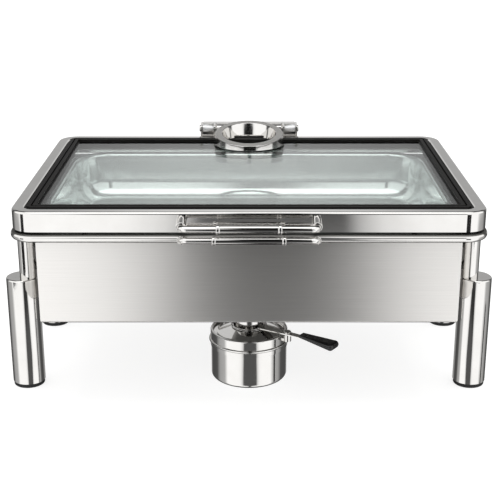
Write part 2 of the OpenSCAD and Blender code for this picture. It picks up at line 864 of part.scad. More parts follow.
module lid_profile() {
    inner_r = lid_edge_r - lid_sheet;
    difference() {
        round_box([-lid_border, lid_bottom_z - far], [0, lid_top_z], lid_edge_r);
        round_box([lid_sheet - lid_border, -2 * far], [-lid_sheet, lid_top_z - lid_sheet], inner_r);
        translate([-2 * lid_border, -2 * far]) square([4 * lid_border, 2 * far + lid_bottom_z]);
        translate([-2 * lid_border, -2 * far])
            square([2 * lid_border - lid_sheet - inner_r, 2 * far + seat_z - lid_sheet]);
    }
    translate([-lid_border - seat_w, seat_z - lid_sheet]) square([seat_w + lid_sheet, lid_sheet]);
    translate([-lid_hem, lid_bottom_z]) square([lid_hem, lid_sheet]);
}

module lid_frame() {
    color("gainsboro") difference() {
        swept(lid_w, lid_d, lid_corner_r) lid_profile();
        at_posts() translate([0, lid_front_y, lid_post.y])
            rotate([90, 0, 0]) cylinder(r = handle_screw_r + hole_clear, h = 6 * lid_sheet, center = true);
        for (x = arm_screw_x)
            translate([x, arm_screw_y, lid_top_z])
                cylinder(r = screw_r + hole_clear, h = 4 * lid_sheet, center = true);
    }
}

module glass_pane() {
    color("lightcyan", 0.4) translate([0, 0, glass_z])
        linear_extrude(glass_t)
            plan(lid_w - 2 * glass_inset, lid_d - 2 * glass_inset, glass_corner_r);
}

// Frame-shaped band of the gasket, between two insets from its outside
module gasket_band(from, to, z0, z1) {
    outer_r = lid_corner_r - lid_border;
    least_r = 2;
    w = lid_w - 2 * lid_border;
    d = lid_d - 2 * lid_border;
    translate([0, 0, z0]) linear_extrude(z1 - z0) difference() {
        plan(w - 2 * from, d - 2 * from, max(outer_r - from, least_r));
        plan(w - 2 * to, d - 2 * to, max(outer_r - to, least_r));
    }
}

module glass_gasket() {
    groove = gasket_w - gasket_grip;
    glass_top_z = glass_z + glass_t;
    base_top_z = gasket_top_z - rib_h;
    rib_in = (gasket_w - 2 * rib_w - rib_gap) / 2;
    color("#2a2826") {
        gasket_band(0, groove, seat_z, base_top_z);
        gasket_band(0, gasket_w, seat_z, glass_z);
        gasket_band(0, gasket_w, glass_top_z, base_top_z);
        for (k = [0, 1]) {
            from = rib_in + k * (rib_w + rib_gap);
            gasket_band(from, from + rib_w, glass_top_z, gasket_top_z);
        }
    }
}

module hinge_arm() {
    color("gainsboro") difference() {
        union() {
            translate([-arm_half, arm_y0, lid_top_z]) cube([2 * arm_half, hinge_y - arm_y0, arm_t]);
            for (s = [-1, 1])
                translate([s * knuckle_x0, hinge_y, hinge_z])
                    rotate([0, s * 90, 0]) cylinder(r = knuckle_r, h = knuckle_x1 - knuckle_x0);
        }
        translate([-far, hinge_y, hinge_z]) rotate([0, 90, 0])
            cylinder(r = pin_r + run_clear, h = 2 * far);
        for (x = arm_screw_x) translate([x, arm_screw_y, lid_top_z + arm_t]) {
            sunk_screw(screw_r + hole_clear, 2 * arm_t);
            cylinder(r = 2 * (screw_r + hole_clear), h = arm_t);
        }
    }
}

module hinge_arm_screws() {
    color("lightgray") for (x = arm_screw_x)
        translate([x, arm_screw_y, lid_top_z + arm_t])
            sunk_screw(screw_r, arm_screw_len);
}

module slanted_ring() {
    ring_r = ring_od / 2;
    color("gainsboro") difference() {
        translate([0, ring_y, lid_top_z]) cylinder(r = ring_r, h = ring_od);
        translate([0, ring_y, 0]) cylinder(r = ring_id / 2, h = far);
        // Everything above the slanted top
        translate([0, ring_y - ring_r, lid_top_z + ring_front_h]) rotate([ring_slope, 0, 0])
            translate([-far / 2, -far / 2, 0]) cube(far);
        // Seat over the hinge arm
        translate([-arm_half - face_clear, arm_y0 - face_clear, 0])
            cube([2 * (arm_half + face_clear), far, lid_top_z + arm_t]);
    }
}

module ring_seal() {
    color("#1c1c1e") difference() {
        translate([0, ring_y, glass_z + glass_t]) difference() {
            cylinder(r = ring_od / 2 - seal_step, h = lid_top_z - glass_z - glass_t);
            cylinder(r = ring_id / 2 + seal_step, h = far, center = true);
        }
        translate([-far / 2, seal_rear_y, 0]) cube(far);
    }
}

module lid_bumpers() {
    inset = lid_hem - bumper_r - face_clear;
    color("#1c1c1e") for (x = [-bumper_x, bumper_x], s = [-1, 1])
        translate([x, s * (lid_d / 2 - inset), rim_top_z + face_clear])
            cylinder(r = bumper_r, h = lid_gap - face_clear);
}

// Burner

module burner_cup() {
    color("gainsboro") translate([0, burner_y, 0]) rotate_extrude() intersection() {
        difference() {
            round_box([-cup_r, 0], [cup_r, far], cup_edge_r);
            round_box([cup_sheet - cup_r, cup_sheet], [cup_r - cup_sheet, far], cup_edge_r - cup_sheet);
        }
        square([cup_r, cup_h]);
    }
}

module burner_collar() {
    color("gainsboro") translate([0, burner_y, 0]) rotate_extrude() {
        // Skirt over the cup, with its bead
        translate([collar_r0, collar_z0]) square([cup_sheet, cup_h - collar_z0 + cup_sheet]);
        difference() {
            translate([collar_r1, cup_h]) circle(collar_bead_r);
            square([collar_r0 + cup_sheet / 2, far]);
        }
        // Upper wall, standing on the cup's edge
        intersection() {
            round_box([cone_rim_r, cup_h - 2 * collar_edge_r], [collar_r1, collar_z1], collar_edge_r);
            translate([cone_rim_r, cup_h]) square([far, collar_h]);
        }
        // Ledge of the cone
        translate([cone_rim_r - collar_lip_w, cone_z - cup_sheet]) square([collar_lip_w + over, cup_sheet]);
    }
}

module burner_cone() {
    top = cone_top_z;
    rim = cone_rim_r - hole_clear;
    color("gainsboro") translate([0, burner_y, 0]) rotate_extrude()
        polygon([[rim, cone_z], [rim, cone_z + cup_sheet], [cone_foot_r, cone_z + cup_sheet],
            [cone_top_r, top], [flame_r, top], [flame_r, top - cup_sheet], [cone_top_r, top - cup_sheet],
            [cone_foot_r, cone_z]]);
}

// Children placed at the burner, with X along the damper's arm
module along_arm() {
    translate([0, burner_y, 0]) rotate([0, 0, arm_angle]) children();
}

module pivot_bracket() {
    web_w = 8;
    web_h = collar_z1 - (boss_top_z - boss_h) - collar_edge_r;
    color("gainsboro") along_arm() difference() {
        union() {
            translate([pivot_reach, 0, boss_top_z - boss_h]) cylinder(r = boss_r, h = boss_h);
            translate([cup_r - web_w, -web_w / 2, boss_top_z - boss_h])
                cube([pivot_reach - cup_r + web_w, web_w, web_h]);
        }
        cylinder(r = collar_r1 + fix_clear, h = far);
        translate([pivot_reach, 0, boss_top_z - pivot_depth]) cylinder(r = pivot_r + fix_clear, h = far);
    }
}

module pivot_pin() {
    color("lightgray") along_arm() translate([pivot_reach, 0, 0]) {
        translate([0, 0, boss_top_z - pivot_depth])
            cylinder(r = pivot_r, h = pivot_head_z - boss_top_z + pivot_depth);
        turned(pivot_head_r, pivot_head_z, pivot_head_z + pivot_head_h, 2 * pivot_head_h / 3);
    }
}

module damper_cap() {
    color("gainsboro") translate([0, burner_y, brim_z]) rotate_extrude() {
        translate([cap_r - brim_t, 0]) square([brim_t + cap_brim, brim_t]);
        intersection() {
            difference() {
                round_box([-cap_r, -far], [cap_r, cap_h], cap_edge_r);
                round_box([brim_t - cap_r, -far], [cap_r - brim_t, cap_h - brim_t], cap_edge_r - brim_t);
            }
            square([cap_r, cap_h]);
        }
    }
}

module damper_arm() {
    x0 = cap_r - cap_brim;
    x1 = grip_x0 + tang_len;
    color("silver") along_arm() difference() {
        translate([0, 0, arm_z]) linear_extrude(damper_arm_t) {
            polygon([[x0, -damper_arm_w0 / 2], [pivot_reach, -boss_r], [x1, -damper_arm_w1 / 2],
                [x1, damper_arm_w1 / 2], [pivot_reach, boss_r], [x0, damper_arm_w0 / 2]]);
        }
        cylinder(r = cap_r + fix_clear, h = far);
        translate([pivot_reach, 0, 0]) cylinder(r = pivot_r + run_clear, h = far);
        translate([rivet_x, 0, 0]) cylinder(r = rivet_r + fix_clear, h = far);
    }
}

module damper_grip() {
    slot_w = damper_arm_w1 + 2 * over;
    nose_r = grip_t0 / 2;
    end_r = grip_t1 / 2;
    color("#161616") along_arm() difference() {
        hull() {
            translate([grip_x0 + nose_r, 0, grip_top_z - nose_r]) rotate([90, 0, 0])
                cylinder(r = nose_r, h = grip_w0, center = true, $fn = 32);
            for (s = [-1, 1])
                translate([grip_x1 - end_r, s * (grip_w1 / 2 - end_r), grip_top_z - end_r])
                    sphere(end_r, $fn = 32);
        }
        // The groove of the tang, open below
        translate([0, -slot_w / 2, 0])
            cube([grip_x0 + tang_len + tang_room, slot_w, arm_z + damper_arm_t + tang_room]);
        translate([rivet_x, 0, 0]) cylinder(r = rivet_r + fix_clear, h = far);
    }
}

module grip_rivet() {
    color("lightgray") along_arm() translate([rivet_x, 0, arm_z - rivet_sink])
        cylinder(r = rivet_r, h = grip_top_z - arm_z);
}

front_panel();
rear_panel();
left_panel();
right_panel();
leg_rod(CORNERS[0]);  // leg_rod_front_left
leg_rod(CORNERS[1]);  // leg_rod_front_right
leg_rod(CORNERS[2]);  // leg_rod_rear_left
leg_rod(CORNERS[3]);  // leg_rod_rear_right
leg_sleeve(CORNERS[0]);  // leg_sleeve_front_left
leg_sleeve(CORNERS[1]);  // leg_sleeve_front_right
leg_sleeve(CORNERS[2]);  // leg_sleeve_rear_left
leg_sleeve(CORNERS[3]);  // leg_sleeve_rear_right
foot_pad(CORNERS[0]);  // foot_pad_front_left
foot_pad(CORNERS[1]);  // foot_pad_front_right
foot_pad(CORNERS[2]);  // foot_pad_rear_left
foot_pad(CORNERS[3]);  // foot_pad_rear_right
leg_spacers();
leg_bolts();
water_pan();
food_pan();
pan_handle_bar();
pan_handle_grip();
pan_handle_post_left();
pan_handle_post_right();
pan_handle_screws();
hinge_bracket();
hinge_housing_left();
hinge_housing_right();
hinge_pin();
hinge_pin_caps();
hinge_damper_left();
hinge_damper_right();
bracket_screws();
housing_screws();
lid_frame();
glass_pane();
glass_gasket();
lid_handle_bar();
lid_handle_grip();
lid_handle_post_left();
lid_handle_post_right();
lid_handle_screws();
hinge_arm();
hinge_arm_screws();
slanted_ring();
ring_seal();
lid_bumpers();
burner_cup();
burner_collar();
burner_cone();
pivot_bracket();
pivot_pin();
damper_cap();
damper_arm();
damper_grip();
grip_rivet();
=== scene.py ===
import json
import math

import bmesh
import bpy
from mathutils import Matrix, Vector


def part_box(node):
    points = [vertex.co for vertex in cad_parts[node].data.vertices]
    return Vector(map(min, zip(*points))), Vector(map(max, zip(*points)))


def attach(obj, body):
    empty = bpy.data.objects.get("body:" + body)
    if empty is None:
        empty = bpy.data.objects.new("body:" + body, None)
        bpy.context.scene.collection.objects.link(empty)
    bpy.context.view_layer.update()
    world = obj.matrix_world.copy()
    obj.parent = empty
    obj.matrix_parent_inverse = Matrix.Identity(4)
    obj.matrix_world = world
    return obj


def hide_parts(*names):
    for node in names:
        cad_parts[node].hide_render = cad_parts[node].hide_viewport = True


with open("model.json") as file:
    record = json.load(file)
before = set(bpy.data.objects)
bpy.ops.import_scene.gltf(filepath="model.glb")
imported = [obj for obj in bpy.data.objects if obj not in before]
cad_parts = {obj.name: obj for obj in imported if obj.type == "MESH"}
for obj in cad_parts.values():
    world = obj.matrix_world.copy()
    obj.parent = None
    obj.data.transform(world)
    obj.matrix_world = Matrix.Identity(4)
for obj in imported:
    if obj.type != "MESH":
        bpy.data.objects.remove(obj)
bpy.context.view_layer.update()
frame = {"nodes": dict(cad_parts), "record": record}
nodes = frame["nodes"]
scene = bpy.context.scene
mm = 0.001
print("frame:", len(nodes), "nodes")


def linear(code):  # sRGB hex to the linear colour that a socket takes
    parts = [int(code[i:i + 2], 16) / 255 for i in (1, 3, 5)]
    return [c / 12.92 if c <= 0.04045 else ((c + 0.055) / 1.055) ** 2.4 for c in parts] + [1.0]


def addNode(tree, kind, inputs, **settings):  # one node, its settings, its socket values and its links
    node = tree.nodes.new(kind)
    for name, value in settings.items():
        setattr(node, name, value)
    for name, value in inputs.items():
        if isinstance(value, bpy.types.NodeSocket):
            tree.links.new(value, node.inputs[name])
        else:
            node.inputs[name].default_value = value
    return node


def newMaterial(name):  # an empty material, its node tree and the place on the object
    material = bpy.data.materials.new(name)
    material.use_nodes = True
    tree = material.node_tree
    tree.nodes.clear()
    place = addNode(tree, "ShaderNodeTexCoord", {}).outputs["Object"]
    return material, tree, place


def setRamp(node, stops):  # grey levels along a colour ramp
    for stop in stops[1:-1]:
        node.color_ramp.elements.new(stop[0])
    for element, (spot, level) in zip(node.color_ramp.elements, stops):
        element.position = spot
        element.color = (level, level, level, 1)


# Camera, at the photograph's viewing angle: metres, degrees, and mm for the lens
cameraSet = {"place": (0, -1.467, 0.652), "tilt": 71.21, "lens": 79.2, "sensor": 36, "shiftX": 0.002}
cameraData = bpy.data.cameras.new("camera")
cameraData.lens = cameraSet["lens"]
cameraData.sensor_width = cameraSet["sensor"]
cameraData.shift_x = cameraSet["shiftX"]
cameraObject = bpy.data.objects.new("camera", cameraData)
cameraObject.location = cameraSet["place"]
cameraObject.rotation_euler = (math.radians(cameraSet["tilt"]), 0, 0)
scene.collection.objects.link(cameraObject)
scene.camera = cameraObject
scene.view_settings.view_transform = "Standard"

# White room with a soft lamp above, in metres
white = linear("#ffffff")
roomSet = {"strength": 1.0, "lampSize": (1.7, 1.2), "lampHeight": 1.9, "lampPower": 30}
world = bpy.data.worlds.new("whiteRoom")
world.use_nodes = True
scene.world = world
tree = world.node_tree
tree.nodes.clear()
room = addNode(tree, "ShaderNodeBackground", {"Color": white, "Strength": roomSet["strength"]})
addNode(tree, "ShaderNodeOutputWorld", {"Surface": room.outputs[0]})

lampData = bpy.data.lights.new("lampAbove", "AREA")
lampData.shape = "RECTANGLE"
lampData.size, lampData.size_y = roomSet["lampSize"]
lampData.energy = roomSet["lampPower"]
lamp = bpy.data.objects.new("lampAbove", lampData)
lamp.location = (0, 0, roomSet["lampHeight"])
lamp.visible_camera = False
lamp.visible_glossy = False  # the tent's roof stands for it in the reflections
scene.collection.objects.link(lamp)


def stageObject(bm, name, material, mirrorOnly=False):  # mirrorOnly: only mirror rays see it
    mesh = bpy.data.meshes.new(name)
    bm.to_mesh(mesh)
    bm.free()
    mesh.materials.append(material)
    piece = bpy.data.objects.new(name, mesh)
    scene.collection.objects.link(piece)
    if mirrorOnly:
        for ray in ("camera", "diffuse", "transmission", "shadow"):
            setattr(piece, "visible_" + ray, False)
    return piece


def glowing(name, level):  # a plain white glow for cards and cloths
    material, tree, place = newMaterial(name)
    glow = addNode(tree, "ShaderNodeEmission", {"Color": white, "Strength": level})
    addNode(tree, "ShaderNodeOutputMaterial", {"Surface": glow.outputs[0]})
    return material


# White acrylic table, lit from below: shadows on it stay faint
floorSet = {"size": 24, "color": "#959594", "glow": 0.82, "roughness": 0.6,
            "mottle": 0.4, "mottleLeast": 0.98}
acrylic, tree, place = newMaterial("acrylicWhiteLit")
mottle = addNode(tree, "ShaderNodeTexNoise", {"Vector": place, "Scale": 1 / floorSet["mottle"], "Detail": 2})
shade = addNode(tree, "ShaderNodeMapRange", {
    "Value": mottle.outputs[0], "To Min": floorSet["mottleLeast"], "To Max": 1.0})
tint = addNode(tree, "ShaderNodeMix", {
    "Factor": 1.0, "A": linear(floorSet["color"]), "B": shade.outputs[0]},
    data_type="RGBA", blend_type="MULTIPLY")
sheet = addNode(tree, "ShaderNodeBsdfPrincipled", {
    "Base Color": tint.outputs["Result"], "Roughness": floorSet["roughness"], "Specular IOR Level": 0.0,
    "Emission Color": white, "Emission Strength": floorSet["glow"]})
addNode(tree, "ShaderNodeOutputMaterial", {"Surface": sheet.outputs[0]})
bm = bmesh.new()
bmesh.ops.create_grid(bm, x_segments=1, y_segments=1, size=floorSet["size"] / 2)
floor = stageObject(bm, "floor", acrylic)
floor.visible_glossy = False  # the tent goes on below it, as past a table that ends near the dish

# Light tent, in metres: white at the sides, a dark slit for the camera in front, grey at the back
tentSet = {
    "radius": 0.95, "bottom": -1.5, "top": 1.7, "segments": 96, "level": 1.25,
    "slitCentre": 0.045, "slitLow": -0.9, "slitHigh": 0.6, "slitBlend": 0.26,
    # from slitLow to slitHigh: half the slit's width, and how bright the slit is
    "slitHalf": [(0.0, 0.02), (0.24, 0.04), (0.34, 0.28), (0.41, 0.24), (0.47, 0.17), (0.6, 0.13),
                 (0.71, 0.12), (0.75, 0.34), (0.92, 0.34), (0.95, 0.06), (1.0, 0.06)],
    "slitDark": [(0.0, 0.05), (0.36, 0.085), (0.42, 0.08), (0.455, 0.03), (0.49, 0.03), (0.52, 0.16),
                 (0.6, 0.14), (0.68, 0.01), (1.0, 0.01)],
    "slitEdge": [(0.0, 0.0), (0.14, 0.46), (0.3, 0.75), (0.6, 0.96), (1.0, 1.0)],  # outwards, over slitBlend
    # from the front round to the back: the cloth below blendLow, and above blendHigh
    "lowAround": [(0.0, 1.0), (0.27, 1.0), (0.35, 0.42), (0.52, 0.34), (0.64, 0.08), (0.88, 0.06),
                  (1.0, 0.3)],
    "highAround": [(0.0, 1.0), (0.47, 1.0), (0.53, 0.1), (0.64, 0.08), (0.78, 0.36), (0.95, 0.36),
                   (1.0, 0.6)],
    "blendLow": 0.06, "blendHigh": 0.14,
    "rearFrom": 0.1, "dimLow": 0.7, "dimHigh": 0.9, "dimLevel": 0.12,  # the rear cloth dims from dimLow up
    # dark upright folds: left or right, heights, depths
    "folds": [(-1, (0.01, 0.1), (-0.58, -0.42)), (-1, (-0.085, 0.01), (-0.78, -0.44)),
              (1, (-0.8, -0.12), (-0.255, -0.165)), (1, (-0.03, 0.1), (-0.84, -0.73))],
    "foldColor": "#262626",
}
cloth, tree, place = newMaterial("tentCloth")
axes = addNode(tree, "ShaderNodeSeparateXYZ", {"Vector": place})
across = addNode(tree, "ShaderNodeMath", {
    0: axes.outputs["X"], 1: tentSet["slitCentre"]}, operation="SUBTRACT")
aside = addNode(tree, "ShaderNodeMath", {0: across.outputs[0]}, operation="ABSOLUTE")
lift = addNode(tree, "ShaderNodeMapRange", {
    "Value": axes.outputs["Z"], "From Min": tentSet["slitLow"], "From Max": tentSet["slitHigh"]})
half = addNode(tree, "ShaderNodeValToRGB", {"Fac": lift.outputs[0]})
setRamp(half, tentSet["slitHalf"])
past = addNode(tree, "ShaderNodeMath", {0: aside.outputs[0], 1: half.outputs[0]}, operation="SUBTRACT")
behind = addNode(tree, "ShaderNodeMath", {0: axes.outputs["Y"], 1: 0.0}, operation="MAXIMUM")
clearOf = addNode(tree, "ShaderNodeMath", {0: past.outputs[0], 1: behind.outputs[0]}, operation="ADD")
edge = addNode(tree, "ShaderNodeMapRange", {"Value": clearOf.outputs[0], "From Max": tentSet["slitBlend"]})
slit = addNode(tree, "ShaderNodeValToRGB", {"Fac": edge.outputs[0]})
setRamp(slit, tentSet["slitEdge"])
dark = addNode(tree, "ShaderNodeValToRGB", {"Fac": lift.outputs[0]})
setRamp(dark, tentSet["slitDark"])
front = addNode(tree, "ShaderNodeMath", {0: slit.outputs[0], 1: dark.outputs[0]}, operation="MAXIMUM")
around = addNode(tree, "ShaderNodeMapRange", {
    "Value": axes.outputs["Y"], "From Min": -tentSet["radius"], "From Max": tentSet["radius"]})
lowAround = addNode(tree, "ShaderNodeValToRGB", {"Fac": around.outputs[0]})
setRamp(lowAround, tentSet["lowAround"])
highAround = addNode(tree, "ShaderNodeValToRGB", {"Fac": around.outputs[0]})
setRamp(highAround, tentSet["highAround"])
rise = addNode(tree, "ShaderNodeMapRange", {
    "Value": axes.outputs["Z"], "From Min": tentSet["blendLow"], "From Max": tentSet["blendHigh"]})
sides = addNode(tree, "ShaderNodeMix", {
    "Factor": rise.outputs[0], "A": lowAround.outputs[0], "B": highAround.outputs[0]}, data_type="RGBA")
dim = addNode(tree, "ShaderNodeMapRange", {
    "Value": axes.outputs["Z"], "From Min": tentSet["dimLow"], "From Max": tentSet["dimHigh"],
    "To Min": 1.0, "To Max": tentSet["dimLevel"]})
rear = addNode(tree, "ShaderNodeMath", {
    0: axes.outputs["Y"], 1: tentSet["rearFrom"]}, operation="GREATER_THAN")
upper = addNode(tree, "ShaderNodeMix", {
    "Factor": rear.outputs[0], "A": white, "B": dim.outputs[0]}, data_type="RGBA")
hung = addNode(tree, "ShaderNodeMath", {
    0: sides.outputs["Result"], 1: upper.outputs["Result"]}, operation="MULTIPLY").outputs[0]
foldColor = linear(tentSet["foldColor"])
for side, heights, depths in tentSet["folds"]:
    inDepth = addNode(tree, "ShaderNodeMath", {
        0: axes.outputs["Y"], 1: sum(depths) / 2, 2: (depths[1] - depths[0]) / 2}, operation="COMPARE")
    inHeight = addNode(tree, "ShaderNodeMath", {
        0: axes.outputs["Z"], 1: sum(heights) / 2, 2: (heights[1] - heights[0]) / 2}, operation="COMPARE")
    sideways = addNode(tree, "ShaderNodeMath", {0: axes.outputs["X"], 1: side}, operation="MULTIPLY")
    onSide = addNode(tree, "ShaderNodeMath", {0: sideways.outputs[0], 1: 0.0}, operation="GREATER_THAN")
    inPatch = addNode(tree, "ShaderNodeMath", {
        0: inDepth.outputs[0], 1: inHeight.outputs[0]}, operation="MULTIPLY")
    fold = addNode(tree, "ShaderNodeMath", {
        0: inPatch.outputs[0], 1: onSide.outputs[0]}, operation="MULTIPLY")
    hung = addNode(tree, "ShaderNodeMix", {
        "Factor": fold.outputs[0], "A": hung, "B": foldColor}, data_type="RGBA").outputs["Result"]
level = addNode(tree, "ShaderNodeMath", {0: front.outputs[0], 1: hung}, operation="MULTIPLY")
bright = addNode(tree, "ShaderNodeMath", {0: level.outputs[0], 1: tentSet["level"]}, operation="MULTIPLY")
glow = addNode(tree, "ShaderNodeEmission", {"Color": white, "Strength": bright.outputs[0]})
addNode(tree, "ShaderNodeOutputMaterial", {"Surface": glow.outputs[0]})
bm = bmesh.new()
ring = bmesh.ops.create_circle(bm, segments=tentSet["segments"], radius=tentSet["radius"])["verts"]
bmesh.ops.translate(bm, verts=ring, vec=(0, 0, tentSet["bottom"]))
wall = bmesh.ops.extrude_edge_only(bm, edges=bm.edges[:])["geom"]
bmesh.ops.translate(bm, verts=[v for v in wall if isinstance(v, bmesh.types.BMVert)],
                    vec=(0, 0, tentSet["top"] - tentSet["bottom"]))
stageObject(bm, "lightTent", cloth, mirrorOnly=True)


def tentDisc(height):  # a level disc as wide as the tent
    bm = bmesh.new()
    bmesh.ops.create_circle(bm, segments=tentSet["segments"], radius=tentSet["radius"], cap_ends=True)
    bmesh.ops.translate(bm, verts=bm.verts[:], vec=(0, 0, height))
    return bm


# Tent roof: bright over the front half of the dish, dark behind its middle
roofSet = {"level": 2.2, "along": [(0.0, 1.0), (0.51, 1.0), (0.56, 0.2), (0.7, 0.04), (1.0, 0.04)]}
roofing, tree, place = newMaterial("tentRoofCloth")
axes = addNode(tree, "ShaderNodeSeparateXYZ", {"Vector": place})
along = addNode(tree, "ShaderNodeMapRange", {
    "Value": axes.outputs["Y"], "From Min": -tentSet["radius"], "From Max": tentSet["radius"]})
shade = addNode(tree, "ShaderNodeValToRGB", {"Fac": along.outputs[0]})
setRamp(shade, roofSet["along"])
bright = addNode(tree, "ShaderNodeMath", {0: shade.outputs[0], 1: roofSet["level"]}, operation="MULTIPLY")
glow = addNode(tree, "ShaderNodeEmission", {"Color": white, "Strength": bright.outputs[0]})
addNode(tree, "ShaderNodeOutputMaterial", {"Surface": glow.outputs[0]})
stageObject(tentDisc(tentSet["top"]), "tentRoof", roofing, mirrorOnly=True)

# Dark ground far below: the undersides of beads and bars mirror it
groundSet = {"level": 0.04}
stageObject(tentDisc(tentSet["bottom"]), "ground", glowing("groundDark", groundSet["level"]), mirrorOnly=True)

# Reflector card under the dish, left of the burner, in metres: it lights the cone's left side
cardSet = {"centre": (-0.1, 0.03), "size": (0.1, 0.24), "height": 0.15, "level": 0.7}
bm = bmesh.new()
bmesh.ops.create_grid(bm, x_segments=1, y_segments=1, size=1 / 2, matrix=Matrix.Translation(
    (*cardSet["centre"], cardSet["height"])) @ Matrix.Diagonal((*cardSet["size"], 1, 1)))
stageObject(bm, "reflectorCard", glowing("cardWhite", cardSet["level"]), mirrorOnly=True)
print("studio: table, room, lamp, tent and card")

# Stainless steel, long-grain brushed: fine level lines, a stretched soft shine across them
brushedSet = {
    "grainLength": 90, "grainWidth": 1.3,  # mm; real lines are 0.2 wide, drawn wider so that they show
    "hues": ("#e4e2df", "#f2f0ed"), "roughness": (0.28, 0.38), "lineDepth": 0.1, "lineStrength": 0.06,
    "stretch": 0.8, "turn": 0.25,
}
steelBrushed, tree, place = newMaterial("stainlessBrushed")
lengthwise, crosswise = (1 / (brushedSet[size] * mm) for size in ("grainLength", "grainWidth"))
lay = addNode(tree, "ShaderNodeMapping", {"Vector": place, "Scale": (lengthwise, lengthwise, crosswise)})
grain = addNode(tree, "ShaderNodeTexNoise", {
    "Vector": lay.outputs[0], "Scale": 1, "Detail": 4, "Roughness": 0.6})
dull, pale = (linear(code) for code in brushedSet["hues"])
hue = addNode(tree, "ShaderNodeMix", {"Factor": grain.outputs[0], "A": dull, "B": pale}, data_type="RGBA")
smooth, coarse = brushedSet["roughness"]
rough = addNode(tree, "ShaderNodeMapRange", {"Value": grain.outputs[0], "To Min": smooth, "To Max": coarse})
lines = addNode(tree, "ShaderNodeBump", {
    "Height": grain.outputs[0], "Strength": brushedSet["lineStrength"],
    "Distance": brushedSet["lineDepth"] * mm})
bsdf = addNode(tree, "ShaderNodeBsdfPrincipled", {
    "Base Color": hue.outputs["Result"], "Metallic": 1.0, "Roughness": rough.outputs[0],
    "Anisotropic": brushedSet["stretch"], "Anisotropic Rotation": brushedSet["turn"],
    "Normal": lines.outputs[0]})
addNode(tree, "ShaderNodeOutputMaterial", {"Surface": bsdf.outputs[0]})


def plainFinish(name, marks, roughness, hues, surface):  # marks, in mm, vary its shine and hue a little
    material, tree, place = newMaterial(name)
    noise = addNode(tree, "ShaderNodeTexNoise", {"Vector": place, "Scale": 1 / (marks * mm), "Detail": 3})
    smooth, coarse = roughness
    rough = addNode(tree, "ShaderNodeMapRange", {
        "Value": noise.outputs[0], "To Min": smooth, "To Max": coarse})
    dark, pale = (linear(code) for code in hues)
    hue = addNode(tree, "ShaderNodeMix", {"Factor": noise.outputs[0], "A": dark, "B": pale}, data_type="RGBA")
    bsdf = addNode(tree, "ShaderNodeBsdfPrincipled", {
        "Base Color": hue.outputs["Result"], "Roughness": rough.outputs[0], **surface})
    addNode(tree, "ShaderNodeOutputMaterial", {"Surface": bsdf.outputs[0]})
    return material


# Stainless steel, mirror polished: clear reflections, a faint haze where buffing left it
polishSet = {"marks": 25, "roughness": (0.04, 0.1), "hues": ("#dcdad7", "#e8e7e5")}
steelPolished = plainFinish("stainlessPolished", **polishSet, surface={"Metallic": 1.0})

# Turned steel of the fasteners: duller than the sheet
steelTurned = plainFinish("steelTurned", marks=1.5, roughness=(0.22, 0.36), hues=("#bdbbb7", "#cfcdca"),
                          surface={"Metallic": 1.0})

# Steel dampers, bright zinc plated: paler and softer than the polished sheet
zincBright = plainFinish("steelZincPlated", marks=2, roughness=(0.35, 0.5), hues=("#d4d5d6", "#e4e5e5"),
                         surface={"Metallic": 0.6})

# Steel, black oxide: dark, with a soft grey shine on its edges
steelOxide = plainFinish("steelBlackOxide", marks=4, roughness=(0.3, 0.45), hues=("#2b2a29", "#3d3c3a"),
                         surface={"Metallic": 1.0})

# EPDM rubber, moulded: matt brown-black
rubberGasket = plainFinish("rubberMouldedBrownBlack", marks=1.2, roughness=(0.42, 0.6),
                           hues=("#090807", "#12100f"), surface={"IOR": 1.5, "Specular IOR Level": 0.18})

# Rubber of the feet: matt black
rubberFoot = plainFinish("rubberMouldedBlack", marks=1, roughness=(0.5, 0.7), hues=("#141414", "#222222"),
                         surface={"IOR": 1.5})

# Phenolic resin, moulded: hard black with a wet-looking gloss
phenolicBlack = plainFinish("phenolicBlack", marks=3, roughness=(0.14, 0.26), hues=("#0d0d0e", "#1a1a1c"),
                            surface={"IOR": 1.55})

# The corners of the lid and the rim turn about the ends of these straight runs, in mm from the middle
outlineSet = {"straight": (262, 177, 0), "border": 268.6}


